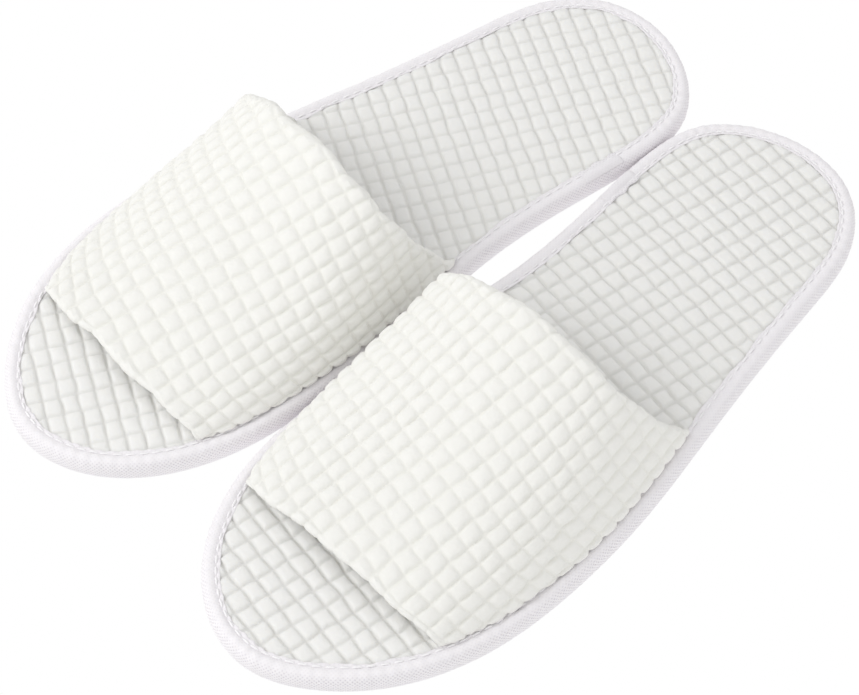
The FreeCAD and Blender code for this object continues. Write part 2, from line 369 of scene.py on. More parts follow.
def waffle_sheet(cloth, stops, limit, waviness, seed):
    """A flat piece of waffle cut to the rim's shape, limit inside it. Gives points
    (x, y), cell coordinates, inset and faces."""
    a, b, x, y, faces = cloth_grid(cloth, stops, INSOLE_CLOTH)
    x, y = (x + waviness * ripple(x, y, JITTER_LENGTH, seed),
            y + waviness * ripple(x, y, JITTER_LENGTH, seed + 1))
    xy = np.stack([x, y], 1)
    depth, _ = inset_of(xy)
    inside = depth >= limit
    faces = faces[inside[faces].any(1)]
    faces, xy, a, b = only_used(faces, xy, a, b)
    depth, nearest = inset_of(xy)
    out = depth < limit
    xy[out] = RIM[nearest[out]] + RIM_INWARD[nearest[out]] * limit
    depth[out] = limit
    # the grid runs heelwards then outwards, so its faces look down as made
    return xy, a, b, depth, faces[:, ::-1]


# ---- the upper ----
class Upper:
    """One upper as a surface: u from toe edge to throat, w round the arch from the
    inside of the foot (0) to the outside (1), at even lengths."""

    def __init__(self, side, bulges=True):
        self.shape = VAMPS[side]
        self.bulge = self.shape["bulge"] if bulges else (0, 0)
        rim = RIM + RIM_INWARD * VAMP_INSET
        middle = (rim[:, 1] > FEET_REACH[0]) & (rim[:, 1] < FEET_REACH[1])
        self.feet = []
        for foot in (rim[middle & (rim[:, 0] < 0)], rim[middle & (rim[:, 0] > 0)]):
            self.feet.append(foot[foot[:, 1].argsort()])
        self.us = np.linspace(0, 1, ALONG_STEPS + 1)
        self.ws = np.linspace(0, 1, ROUND_STEPS + 1)
        # closer together at the feet, where the arch rises fastest
        fine = math.pi * (0.5 - 0.5 * np.cos(np.linspace(0, math.pi, ARCH_STEPS + 1)))
        self.angles, self.girths = [], []
        for u in self.us:
            line = self.skin(np.full_like(fine, u), fine)
            run = np.concatenate([[0], np.cumsum(np.linalg.norm(np.diff(line, axis=0), axis=1))])
            self.angles.append(np.interp(self.ws * run[-1], run, fine))
            self.girths.append(run[-1])
        self.angles, self.girths = np.array(self.angles), np.array(self.girths)
        uu, _ = np.meshgrid(self.us, self.ws, indexing="ij")
        net = self.skin(uu.ravel(), self.angles.ravel()).reshape(*uu.shape, 3)
        self.lengths = np.linalg.norm(np.diff(net, axis=0), axis=2).sum(0)

    def skin(self, u, angle):
        """Points of the outer face, at an angle round the arch from 0 at the inside
        foot to pi at the outside one."""
        v = self.shape
        across = -np.cos(angle)
        part_in, part_out = (1 - across) / 2, (1 + across) / 2
        square = v["square"][0] * part_in + v["square"][1] * part_out
        rise = np.sin(np.clip(angle, 0, math.pi)) ** square
        toe, middle, throat = v["heights"]
        height = toe * (1 - u) * (1 - 2 * u) + middle * 4 * u * (1 - u) + throat * u * (2 * u - 1)
        bow = np.sin(angle) ** 2
        front = v["front_in"] * part_in + v["front_out"] * part_out
        front = front + v["front_bow"] * bow - v["front_lean"] * toe * rise
        rear = v["rear_in"] * part_in + v["rear_out"] * part_out
        rear = rear + v["rear_bow"] * bow - v["rear_lean"] * throat * rise
        y = front + (rear - front) * u
        inner, outer = (np.interp(y, f[:, 1], f[:, 0]) for f in self.feet)
        x = (inner + outer) / 2 + across * (outer - inner) / 2
        x = x + v["skew"] * rise * (TOE_SKEW + (1 - TOE_SKEW) * u)
        swell = rise / BULGE_AT * np.exp(1 - rise / BULGE_AT)
        swell = swell * np.minimum(height / BULGE_FULL, 1)
        x = x + swell * np.where(across < 0, -self.bulge[0], self.bulge[1])
        return np.stack([x, y, COVER_TOP + height * rise], 1)

    def at(self, u, w):
        """Points of the skin at u and w."""
        row = np.clip(u, 0, 1) * ALONG_STEPS
        column = np.clip(w, 0, 1) * ROUND_STEPS
        i = np.minimum(row.astype(int), ALONG_STEPS - 1)
        j = np.minimum(column.astype(int), ROUND_STEPS - 1)
        p, q = row - i, column - j
        t = self.angles
        angle = ((1 - p) * ((1 - q) * t[i, j] + q * t[i, j + 1])
                 + p * ((1 - q) * t[i + 1, j] + q * t[i + 1, j + 1]))
        return self.skin(np.clip(u, 0, 1), angle)

    def frame_at(self, u, w):
        """Point, direction towards the throat and outward normal."""
        point = self.at(u, w)
        along = self.at(np.minimum(u + PROBE, 1), w) - self.at(np.maximum(u - PROBE, 0), w)
        around = self.at(u, np.minimum(w + PROBE, 1)) - self.at(u, np.maximum(w - PROBE, 0))
        normal = np.cross(around, along)
        normal /= np.linalg.norm(normal, axis=1)[:, None]
        along /= np.linalg.norm(along, axis=1)[:, None]
        return point, along, normal

    def girth(self, u):
        """Length round the arch at u, in mm."""
        return np.interp(u, self.us, self.girths)

    def length(self, w):
        """Length from toe edge to throat at w, in mm."""
        return np.interp(w, self.ws, self.lengths)


HEM_RETURN = 6.0           # the fleece turned in at each edge of the upper
HEM_RADIUS = VAMP_THICK / 2
HEM_WRAP = math.pi * HEM_RADIUS + HEM_RETURN    # from the start of its turn to its end
HEM_FROM = 0.5             # each hem is its own piece from this far into the turn
HEM_FADE = 2.0             # the pillows fade out over this far at the turned-in end,
FOOT_FADE = 2.5            # and over this far at the feet
HEM_PINCH = (0.3, 14)      # at its feet a hem is this part as thick, over this far
FOOT_DROP = 1.2            # the upper's feet run down between tape and insole
SAG = (0.45, 60, 18)       # soft dents: depth, length, and how far from the feet they grow
EDGE_WANDER = (0.7, 22)    # the edges are this uneven, over this length,
EDGE_START = (16, 14)      # from this far before the turn, growing over this far
UPPER_PILLOW = (0.13, 0.18)     # half a groove's width, and how round a pillow's top is
WORN = 0.65                # the turn presses its pillows this part of the way
WORN_PILE = 0.85           # to this even height,
WORN_FROM = (1.0, 0.5)     # from this far before the turn at the toe edge and the throat,
WORN_OVER = 3.5            # growing over this far,
WORN_UNEVEN = (1.5, 3)     # and unevenly by this much, over this many cells
LAY_UPPER_ROUNDS = 6       # rounds it takes to find where a point of the cloth lies


def cut_fleece(upper, side, seed):
    """The cloth cut for an upper: its faces, then for each point the cell coordinates, the
    place along and round the upper from its middle, and the upper's length and girth there."""
    a, b, across, t, faces = cloth_grid(CLOTHS["upper", side], CELL_STOPS, UPPER_CLOTH)
    t, across = (t + JITTER * ripple(t, across, JITTER_LENGTH, seed),
                 across + JITTER * ripple(t, across, JITTER_LENGTH, seed + 1))
    u, w = np.full_like(t, 0.5), np.full_like(t, 0.5)
    for _ in range(LAY_UPPER_ROUNDS):
        w = 0.5 + across / upper.girth(np.clip(u, 0, 1))
        u = 0.5 + t / upper.length(np.clip(w, 0, 1))
    length, girth = upper.length(np.clip(w, 0, 1)), upper.girth(np.clip(u, 0, 1))
    far_t = length / 2 - HEM_RADIUS + HEM_WRAP
    far_across = girth / 2 + FOOT_DROP
    inside = (abs(t) <= far_t) & (abs(across) <= far_across)
    t = np.clip(t, -far_t, far_t)
    across = np.clip(across, -far_across, far_across)
    return only_used(faces[inside[faces].any(1)], a, b, t, across, length, girth)


def wrap_fleece(upper, t, across, length, girth, past, seed):
    """Where the cloth lies on the upper with its edges turned in, and which way it faces.
    past is how far each point is past the start of its turn."""
    end = np.sign(t)
    u = np.where(past > 0, 0.5 + end * (0.5 - HEM_RADIUS / length), 0.5 + t / length)
    w = np.clip(0.5 + across / girth, 0, 1)
    point, along, normal = upper.frame_at(u, w)
    point[:, 2] -= np.clip(abs(across) - girth / 2, 0, None)

    turned = np.clip(past / HEM_RADIUS, 0, math.pi)[:, None]
    back = np.clip(past - math.pi * HEM_RADIUS, 0, None)[:, None]
    outward = along * end[:, None]
    wander, wander_length = EDGE_WANDER
    before, growth = EDGE_START
    uneven = wander * ripple(across, 0 * across, wander_length, seed + 8)
    uneven = uneven * ease((past + before) / growth)
    thin, pinch_length = HEM_PINCH
    pinched = thin + (1 - thin) * ease((girth / 2 - abs(across)) / pinch_length)
    pinched = HEM_RADIUS * pinched[:, None]
    point = (point - normal * pinched * (1 - np.cos(turned)) + outward * uneven[:, None]
             + outward * (HEM_RADIUS * np.sin(turned) - back))
    return point, normal * np.cos(turned) + outward * np.sin(turned)


def fleece_skin(side, seed):
    """The upper's fleece from one turned-in edge over the top to the other. Gives
    points, fabric coordinates, pile height, how far past each edge, and faces."""
    upper = Upper(side)
    faces, a, b, t, across, length, girth = cut_fleece(upper, side, seed)
    past = abs(t) - (length / 2 - HEM_RADIUS)
    from_foot = girth / 2 - abs(across)
    point, face_out = wrap_fleece(upper, t, across, length, girth, past, seed)

    pile = pillow(a, b, seed, *UPPER_PILLOW, CLOTHS["upper", side]["cut"])
    uneven = WORN_UNEVEN[0] * ripple(a, b, WORN_UNEVEN[1], seed + 9)
    worn = ease((past + np.where(t < 0, *WORN_FROM) + uneven) / WORN_OVER)
    pile = pile + (WORN_PILE - pile) * WORN * worn
    # fade flattens the pillows at the feet and the turned-in ends; since the pile also sets the
    # painted groove shade, these are painted darker too
    fade = ease(from_foot / FOOT_FADE) * ease((HEM_WRAP - past) / HEM_FADE)
    lift = pile * PILE * fade - (PILE - VAMP_PROUD)
    sag, sag_length, sag_growth = SAG
    lift = lift + sag * ripple(t, across, sag_length, seed + 7) * ease(from_foot / sag_growth)
    points = point + face_out * lift[:, None]
    past_edge = np.clip(past, 0, None) * np.sign(t)
    return points, np.stack([across, t], 1), pile * fade, past_edge, faces


def upper_pieces(side, seed, material):
    """The fleece of an upper, cut into its face and its two hems."""
    points, uv, pile, past, faces = fleece_skin(side, seed)
    middle = past[faces].mean(1)
    made = {}
    for name, chosen in (
        ("vamp_fleece", abs(middle) <= HEM_FROM),
        ("throat_hem", middle > HEM_FROM),
        ("front_hem", middle < -HEM_FROM),
    ):
        part, p, q, h = only_used(faces[chosen], points, uv, pile)
        made[name] = add_piece(
            f"{side}_{name}_soft", side, p, part.tolist(), material,
            uv=q, fields={"pile": h})
    return made


LINING_THICK = 0.35
LINING_SHORT = 0.1         # its inner face is this much short of the CAD lining's
LINING_ENDS = 0.045        # it stops this part of the upper's length from each edge
LINING_GRID = (61, 121)    # mesh lines along and round the upper
PUCKER = 0.35              # its soft puckers: depth,
PUCKER_LENGTH = 15         # length along the foot,
PUCKER_SQUEEZE = 2.2       # how many times shorter they are round it,
PUCKER_GROWTH = 12         # and how far from the feet they grow
PUCKER_SEED = 71
FOAM_ENDS = 0.03
FOAM_GRID = (41, 81)
FOAM_DEPTH = (1.9, 3.9)    # the foam's outer and inner face, under the CAD skin


def inner_grid(side, ends, lines):
    """A grid on the upper's skin that stops short of its edges: points, normals, places
    across and along the flat cloth, and how far the points are from the nearer foot."""
    upper = Upper(side, bulges=False)
    u, w = np.meshgrid(np.linspace(ends, 1 - ends, lines[0]), np.linspace(0, 1, lines[1]),
                       indexing="ij")
    u, w = u.ravel(), w.ravel()
    point, _, normal = upper.frame_at(u, w)
    flat = np.stack([(w - 0.5) * upper.girth(u), (u - 0.5) * upper.length(w)], 1)
    return point, normal, flat, np.minimum(w, 1 - w) * upper.girth(u)


def lining_skin(side):
    """The upper's thin inner layer, just inside the foam, between the two turned-in edges."""
    point, normal, flat, from_foot = inner_grid(side, LINING_ENDS, LINING_GRID)
    puckers = PUCKER * ripple(flat[:, 1], flat[:, 0] * PUCKER_SQUEEZE, PUCKER_LENGTH, PUCKER_SEED)
    depth = VAMP_THICK - LINING_SHORT + puckers * ease(from_foot / PUCKER_GROWTH)
    sheet = point - normal * depth[:, None]
    other = point - normal * (depth - LINING_THICK)[:, None]
    points, faces = thicken(sheet, grid_faces(*LINING_GRID), other)
    return points, faces, np.tile(flat, (2, 1))


def vamp_core(side):
    """The foam between the fleece and the lining of the upper."""
    point, normal, flat, _ = inner_grid(side, FOAM_ENDS, FOAM_GRID)
    outer, inner = (point - normal * depth for depth in FOAM_DEPTH)
    points, faces = thicken(outer, grid_faces(*FOAM_GRID), inner)
    return points, faces[:, ::-1], np.tile(flat, (2, 1))


# ---- the sole ----
GROOVE_Z = COVER_TOP - 0.85    # the cover in the grooves between its pillows
INSOLE_PILE = 1.05
INSOLE_PILLOW = (0.11, 0.16)   # half a groove's width, and how round a pillow's top is
CLAMPED_Z = COVER_TOP - 0.8    # the cover where the tape holds it down
RELEASE = (1.0, 1.6)           # it comes free this far before the tape's edge, over this far
HOLLOW = (0.175, 55)           # its soft dents: depth and length
OUTSOLE_STEP_Z = 0.95          # the outsole steps in below this height,
OUTSOLE_STEP_INSET = 5.15      # to make room for the turned-under tape
FILLING_INSET = 1.35           # its upper part and the foam fill the tape


def insole_skin(side, seed):
    """The insole's waffle cover, pressed down at the tape and turned down at its edge."""
    xy, a, b, depth, faces = waffle_sheet(
        CLOTHS["insole", side], CELL_STOPS, COVER_EDGE, JITTER, seed)
    pile = pillow(a, b, seed, *INSOLE_PILLOW, CLOTHS["insole", side]["cut"])
    free = ease((depth - TAPE_INNER + RELEASE[0]) / RELEASE[1])
    hollow = HOLLOW[0] * ripple(xy[:, 0], xy[:, 1], HOLLOW[1], seed + 5)
    z = CLAMPED_Z + free * (GROOVE_Z - CLAMPED_Z + pile * INSOLE_PILE + hollow)
    top = np.column_stack([xy, z])
    first, second = border_edges(faces).T
    ring, numbers = np.unique(np.concatenate([first, second]), return_inverse=True)
    low = top[ring].copy()
    low[:, 2] = FOAM_TOP
    n = len(top)
    half = len(first)
    wall = np.stack([second, first, n + numbers[:half], n + numbers[half:]], 1)
    points = np.vstack([top, low])
    uv = np.vstack([xy, xy[ring]])
    # the pile field sets the painted groove shade, so the cover is also painted darker where the
    # tape holds it down and on its turned-down wall
    return points, np.vstack([faces, wall]), uv, np.concatenate([pile * free, 0 * ring])


def slab(limit, low, high):
    """A flat sheet cut to the rim's shape, limit inside it."""
    plain = {"pitch": (6, 6), "turn": (0, 0), "shift": (0, 0), **FLAT}
    xy, _, _, _, faces = waffle_sheet(plain, PLAIN_STOPS, limit, 0, 1)
    n = len(xy)
    top = np.column_stack([xy, np.full(n, high)])
    bottom = np.column_stack([xy, np.full(n, low)])
    points, faces = thicken(top, faces, bottom)
    return points, faces, np.vstack([xy, xy])


def joined(*sheets):
    """Several (points, faces, uv) as one."""
    points, faces, uvs, count = [], [], [], 0
    for p, f, q in sheets:
        points.append(p)
        faces.append(f + count)
        uvs.append(q)
        count += len(p)
    return np.vstack(points), np.vstack(faces), np.vstack(uvs)


# ---- the tape ----
# Once round the tape's section: (inset, z, how much it gathers between stitches)
TAPE_SECTION = [
    (6.1, 8.55, 0.6), (6.05, 8.8, 0.9), (5.6, 8.85, 0.8), (5.2, 8.72, 0.3), (4.9, 8.62, 0.0),
    (4.6, 8.72, 0.3), (4.1, 8.98, 0.8), (3.4, 9.2, 1.0), (2.6, 9.2, 1.0), (1.8, 8.95, 1.0),
    (1.1, 8.45, 0.9), (0.55, 7.7, 0.8), (0.2, 6.7, 0.6), (0.02, 5.5, 0.4), (0.0, 4.2, 0.3),
    (0.1, 2.9, 0.3), (0.4, 1.6, 0.3), (1.0, 0.6, 0.2), (1.8, 0.12, 0.1), (3.0, 0.0, 0.0),
    (5.0, 0.0, 0.0), (5.0, 0.6, 0.0), (3.0, 0.7, 0.0), (1.5, 0.9, 0.0), (1.2, 1.6, 0.0),
    (1.2, 4.4, 0.0), (1.2, 7.2, 0.0), (1.5, 7.9, 0.0), (3.0, 8.1, 0.0), (5.4, 8.1, 0.1),
    (5.95, 8.25, 0.4),
]
SECTION_FINE = 2           # each stretch of the section is split in this many
GATHER = (0.35, 1.0)       # each stitch gathers the tape by a part between these,
GATHER_STRAIGHT = 0.30     # times this on straight sides,
GATHER_TIGHT = 0.55        # and this much more where the rim bends at
TIGHT_RADIUS = 28          # this radius or less
STITCH_SINK = 0.12         # the stitches hold the tape down by this much
PUFF_UP = 0.55             # of each gather, this part goes up,
PUFF_OUT = 0.35            # this part outwards at the tape's side,
PUFF_IN = 0.5              # and this part inwards at its inner edge
SIDE_RISE = 0.4            # its side rises this part as far as its top
SIDE_FROM = 2.4            # the side starts this far in from the rim,
INNER_FROM = (3.5, 2.5)    # and the inner edge from this far in, over this far,
TOP_FROM = 8.2             # above this height
CREASE = (0.09, 9)         # fine creases: height and length,
CREASE_TURN = 1.5          # this many times closer round the tape than along it
INNER_WANDER = (0.5, 20)   # the inner edge is this uneven, over this length
BEND_WINDOW = 41           # rim stations that its bend is averaged over


def rim_bend():
    """How tightly the rim turns at each station, per millimetre, smoothed."""
    angle = np.unwrap(np.arctan2(RIM_ALONG[:, 1], RIM_ALONG[:, 0]))
    step = (np.roll(angle, -1) - np.roll(angle, 1) + math.pi) % (2 * math.pi) - math.pi
    bend = step / (2 * RIM_LENGTH / RIM_COUNT)
    window = np.ones(BEND_WINDOW) / BEND_WINDOW
    beyond = BEND_WINDOW // 2
    return np.convolve(np.concatenate([bend[-beyond:], bend, bend[:beyond]]), window, "valid")


def section():
    """The tape's section with extra points between, and the length round it."""
    s = np.array(TAPE_SECTION + TAPE_SECTION[:1])
    n = (len(s) - 1) * SECTION_FINE
    at = np.arange(n + 1) / SECTION_FINE
    s = np.stack([np.interp(at, np.arange(len(s)), s[:, k]) for k in range(3)], 1)
    run = np.concatenate([[0], np.cumsum(np.linalg.norm(np.diff(s[:, :2], axis=0), axis=1))])
    return s, run


def lap_station():
    """The rim's station in the middle of the lap, on the inside of the foot."""
    off = abs(RIM[:, 1] - sum(LAP_Y) / 2)
    off[RIM[:, 0] > 0] = np.inf
    return int(off.argmin())


def gathers(way, station, seed):
    """How far the tape is gathered, at each place along it."""
    random = np.random.default_rng(seed)
    pitches = int(RIM_LENGTH / STITCH_PITCH)
    phase = way / RIM_LENGTH * pitches
    gather = random.uniform(*GATHER, pitches + 1)
    gather[-1] = gather[0]
    strength = np.interp(phase, np.arange(pitches + 1), gather)
    tight = np.clip(rim_bend()[station] * TIGHT_RADIUS, 0, 1)
    strength = strength * (GATHER_STRAIGHT + GATHER_TIGHT * tight)
    return strength * (0.5 - 0.5 * np.cos(2 * math.pi * phase)) - STITCH_SINK


def tape_skin(seed):
    """The tape folded over the sole's edge, gathered a little between stitches."""
    s, run = section()
    station = (lap_station() + np.arange(RIM_COUNT + 1)) % RIM_COUNT
    way = np.arange(RIM_COUNT + 1) * RIM_LENGTH / RIM_COUNT
    ends_meet = np.sin(math.pi * way / RIM_LENGTH)
    lift = gathers(way, station, seed)
    wander = INNER_WANDER[0] * ripple(way, 0 * way, INNER_WANDER[1], seed + 1) * ends_meet ** 0.3
    rows = []
    for (inset, z, part), place in zip(s, run):
        creep = ripple(way, np.full_like(way, place * CREASE_TURN), CREASE[1], seed + 2)
        creep = creep * ends_meet ** 0.2 * CREASE[0] * part
        side = np.clip((SIDE_FROM - inset) / SIDE_FROM, 0, 1)
        inner = np.clip((inset - INNER_FROM[0]) / INNER_FROM[1], 0, 1) * (z > TOP_FROM)
        out = -(lift * part * PUFF_OUT + creep) * side + (wander + lift * PUFF_IN) * inner
        up = (lift * part * PUFF_UP + creep) * (1 - (1 - SIDE_RISE) * side)
        xy = RIM[station] + RIM_INWARD[station] * (inset + out)[:, None]
        rows.append(np.column_stack([xy, np.full(len(way), z) + up]))
    points = np.stack(rows, 1).reshape(-1, 3)
    uv = np.stack(np.broadcast_arrays(way[:, None], run[None]), 2).reshape(-1, 2)
    return points, grid_faces(len(way), len(s)), uv


# From end to end of a stitch, in half lengths, and the part of its radius it has there
STITCH_TAPER = [(-1.0, 0.0), (-0.92, 0.55), (-0.6, 0.95), (0.0, 1.0),
                (0.6, 0.95), (0.92, 0.55), (1.0, 0.0)]
STITCH_SIDES = 8
STITCH_Z = 8.75            # the height of its ends,
STITCH_ARCH = 0.22         # how much higher its middle is,
STITCH_FLAT = 0.8          # and its height as a part of its width


def one_stitch(station):
    """A spindle that lies on the tape along the rim: points and faces."""
    along = RIM_ALONG[station] * STITCH_LENGTH / 2
    middle = RIM[station] + RIM_INWARD[station] * STITCH_INSET
    points, faces = [], []
    for t, part in STITCH_TAPER:
        radius = STITCH_RADIUS * part
        z = STITCH_Z + STITCH_ARCH * (1 - t * t)
        for k in range(STITCH_SIDES):
            angle = k * 2 * math.pi / STITCH_SIDES
            xy = middle + along * t + RIM_INWARD[station] * radius * math.cos(angle)
            points.append((*xy, z + STITCH_FLAT * radius * math.sin(angle)))
    for i in range(len(STITCH_TAPER) - 1):
        here, there = i * STITCH_SIDES, (i + 1) * STITCH_SIDES
        for j in range(STITCH_SIDES):
            m = (j + 1) % STITCH_SIDES
            faces.append((here + j, there + j, there + m, here + m))
    return np.array(points), np.array(faces)


def stitch_skin():
    """One row of straight stitches, each a small spindle lying on the tape."""
    pitches = int(RIM_LENGTH / STITCH_PITCH)
    sheets = []
    for k in range(pitches):
        station = round(lap_station() + k * RIM_COUNT / pitches) % RIM_COUNT
        points, faces = one_stitch(station)
        sheets.append((points, faces, points[:, :2]))
    return joined(*sheets)


# Across the lapped tape: (inset, z) of its upper face
LAP_SECTION = [(0.9, 8.75), (1.6, 9.2), (2.4, 9.5), (3.4, 9.55),
               (4.2, 9.3), (4.9, 9.0), (5.5, 9.25), (6.3, 9.1)]
LAP_LINES = 19             # mesh lines along it
LAP_THICK = 0.35
LAP_STEP = (0.3, 1.5)      # its ends come down this far, over this length
LAP_WAVE = (0.22, 8)       # it waves up and down by this much, over this length
LAP_WANDER = (0.5, 7)      # its inner edge is this uneven, over this length,
LAP_WANDER_FROM = (4.5, 1.8)    # from this far in, growing over this far
LAP_SEED = 91


def lap_skin():
    """The second thickness of tape, where its two ends lap."""
    step = RIM_LENGTH / RIM_COUNT
    reach = int((LAP_Y[1] - LAP_Y[0]) / 2 / step)
    station = (lap_station() + np.arange(-reach, reach + 1)) % RIM_COUNT
    way = np.arange(-reach, reach + 1) * step
    inset = np.linspace(LAP_SECTION[0][0], LAP_SECTION[-1][0], LAP_LINES)
    height = np.interp(inset, *zip(*LAP_SECTION))
    drop, drop_length = LAP_STEP
    end = ease((reach * step - abs(way)) / drop_length)
    rows = []
    for i, z in zip(inset, height):
        wave = LAP_WAVE[0] * ripple(way, np.full_like(way, i), LAP_WAVE[1], LAP_SEED)
        edge = LAP_WANDER[0] * ripple(way, 0 * way, LAP_WANDER[1], LAP_SEED + 1)
        edge = edge * np.clip((i - LAP_WANDER_FROM[0]) / LAP_WANDER_FROM[1], 0, 1)
        xy = RIM[station] + RIM_INWARD[station] * (i + edge)[:, None]
        rows.append(np.column_stack([xy, z - drop + drop * end + wave * end]))
    points = np.stack(rows, 1).reshape(-1, 3)
    points, faces = thicken(points, grid_faces(len(way), LAP_LINES), points - [0, 0, LAP_THICK])
    uv = np.stack(np.broadcast_arrays(way[:, None], inset[None]), 2).reshape(-1, 2)
    return points, faces, np.vstack([uv, uv])


# ---- finishes ----
LIGHT_REACH = (0.004, 0.0038, 0.0034)   # metres that red, green and blue light go inside


class Finish:
    """A Principled material with helpers to wire procedural detail into it."""

    def __init__(self, name, color, roughness, sheen=0.0, subsurface=0.0):
        self.material = bpy.data.materials.new(name)
        self.material.use_nodes = True
        self.tree = self.material.node_tree
        self.shader = self.tree.nodes["Principled BSDF"]
        self.set("Base Color", (*color, 1))
        self.set("Roughness", roughness)
        self.set("Sheen Weight", sheen)
        self.set("Sheen Roughness", 0.5)
        self.set("Specular IOR Level", 0.2)
        self.set("Subsurface Weight", subsurface)
        self.set("Subsurface Radius", LIGHT_REACH)
        self.set("Subsurface Scale", 1.0)
        self.where = self.node("ShaderNodeTexCoord").outputs["UV"]

    def set(self, socket, value):
        self.shader.inputs[socket].default_value = value

    def node(self, kind, **settings):
        """A new node, with settings for its inputs or its own properties."""
        made = self.tree.nodes.new(kind)
        for key, value in settings.items():
            if key in made.inputs:
                made.inputs[key].default_value = value
            else:
                setattr(made, key, value)
        return made

    def link(self, source, target):
        self.tree.links.new(source, target)

    def noise(self, scale, detail=2.0, roughness=0.5):
        made = self.node("ShaderNodeTexNoise", Scale=scale, Detail=detail, Roughness=roughness)
        self.link(self.where, made.inputs["Vector"])
        return made.outputs["Fac"]

    def ramp(self, source, low, high, start=0.0):
        """From start to 1 as the source goes from low to high."""
        made = self.node("ShaderNodeMapRange")
        for name, value in (("From Min", low), ("From Max", high),
                            ("To Min", start), ("To Max", 1.0)):
            made.inputs[name].default_value = value
        self.link(source, made.inputs["Value"])
        return made.outputs["Result"]

    def maths(self, operation, first, second):
        made = self.node("ShaderNodeMath", operation=operation)
        for value, socket in ((first, made.inputs[0]), (second, made.inputs[1])):
            if isinstance(value, (int, float)):
                socket.default_value = value
            else:
                self.link(value, socket)
        return made.outputs["Value"]

    def attribute(self, name):
        return self.node("ShaderNodeAttribute", attribute_name=name).outputs["Fac"]

    def tint(self, factor, low, high):
        """Base colour from low to high as factor goes from 0 to 1."""
        made = self.node("ShaderNodeMix", data_type="RGBA")
        self.link(factor, made.inputs["Factor"])
        made.inputs["A"].default_value = (*low, 1)
        made.inputs["B"].default_value = (*high, 1)
        self.link(made.outputs["Result"], self.shader.inputs["Base Color"])

    def bump(self, height, depth, strength=1.0):
        """Bump from a 0 to 1 height that is depth metres deep."""
        made = self.node("ShaderNodeBump", Strength=strength, Distance=depth)
        self.link(height, made.inputs["Height"])
        self.link(made.outputs["Normal"], self.shader.inputs["Normal"])


def fleece(name, groove, top, subsurface):
    """Brushed pile: top is its colour, and groove the painted shade laid on where its pile is
    low.
    """
    f = Finish(name, top, 0.95, sheen=0.1, subsurface=subsurface)
    # painted shade: the colour runs from groove to top as the pile field rises, so grooves and
    # flattened pile are painted darker
    f.tint(f.ramp(f.attribute("pile"), low=0.0, high=0.85), groove, top)
    fuzz = f.maths("ADD", f.noise(scale=1500, detail=4, roughness=0.7),
                   f.noise(scale=420, detail=2))
    f.bump(fuzz, depth=0.00034, strength=0.7)
    return f.material


TAPE_COLOR = (0.925, 0.898, 0.918)
# the dots' colour: the tape's lilac tint with painted shade, so its side is painted darker
DOT_TINT_AND_SHADE = (0.755, 0.715, 0.755)
DOT_PITCH = 0.0015         # metres between the tape's embossed dots, both ways slantwise
DOT_SIDE = (0.0045, 0.007)     # the dots and their painted shade grow over this stretch, from the tape's inner edge,
DOT_FAINT = 0.2            # from this part of their strength


def tape_finish():
    """Non-woven tape, nearly smooth on top, embossed with small dots down its side, tinted lilac
    and painted with shade.
    """
    f = Finish("binding tape", TAPE_COLOR, 0.75, sheen=0.1, subsurface=0.15)
    split = f.node("ShaderNodeSeparateXYZ")
    f.link(f.where, split.inputs["Vector"])
    waves = []
    for turn in (1, -1):
        slant = f.maths("MULTIPLY", split.outputs["Y"], turn)
        way = f.maths("ADD", split.outputs["X"], slant)
        phase = f.maths("MULTIPLY", way, 2 * math.pi / DOT_PITCH)
        waves.append(f.maths("COSINE", phase, 0))
    dots = f.ramp(f.maths("ADD", *waves), low=0.5, high=1.6)
    growth = f.ramp(split.outputs["Y"], *DOT_SIDE, start=DOT_FAINT)
    dots = f.maths("MULTIPLY", dots, growth)
    grain = f.maths("MULTIPLY", f.noise(scale=2500, detail=3, roughness=0.7), 0.35)
    # painted shade: the dots darken the tape's colour, most down its side
    f.tint(dots, TAPE_COLOR, DOT_TINT_AND_SHADE)
    f.bump(f.maths("SUBTRACT", grain, dots), depth=0.0002, strength=0.8)
    return f.material


def plain(name, color, roughness, grain, depth):
    """An even colour with a fine grain of this scale and depth in metres."""
    f = Finish(name, color, roughness)
    f.bump(f.noise(scale=grain, detail=4, roughness=0.65), depth)
    return f.material


FINISHES = {
    # for each fleece: the painted shade of its grooves, its own colour on the pillows, and
    # subsurface
    "vamp_fleece": fleece("upper fleece", (0.865, 0.86, 0.815), (0.89, 0.885, 0.85), 0.05),
    "insole_fleece": fleece("insole fleece", (0.76, 0.755, 0.73), (0.885, 0.88, 0.86), 0.2),
    "binding_tape": tape_finish(),
    "stitch_thread": plain("stitch thread", (0.95, 0.94, 0.95), 0.6, 4000, 0.0001),
    "lining_fabric": plain("lining fabric", (0.88, 0.87, 0.84), 0.9, 1800, 0.0002),
    "soft_foam": plain("soft foam", (0.91, 0.9, 0.84), 0.9, 1200, 0.0004),
    "eva_foam": plain("eva foam", (0.9, 0.9, 0.88), 0.7, 900, 0.0002),
}


# ---- build both slippers ----
def bend_with_sole(piece):
    """Bakes the piece's placing into its mesh."""
    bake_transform(piece)


def halves(side, name):
    """The two CAD nodes that one visible sheet of the sole stands for."""
    return f"{side}_{name}_front", f"{side}_{name}_heel"


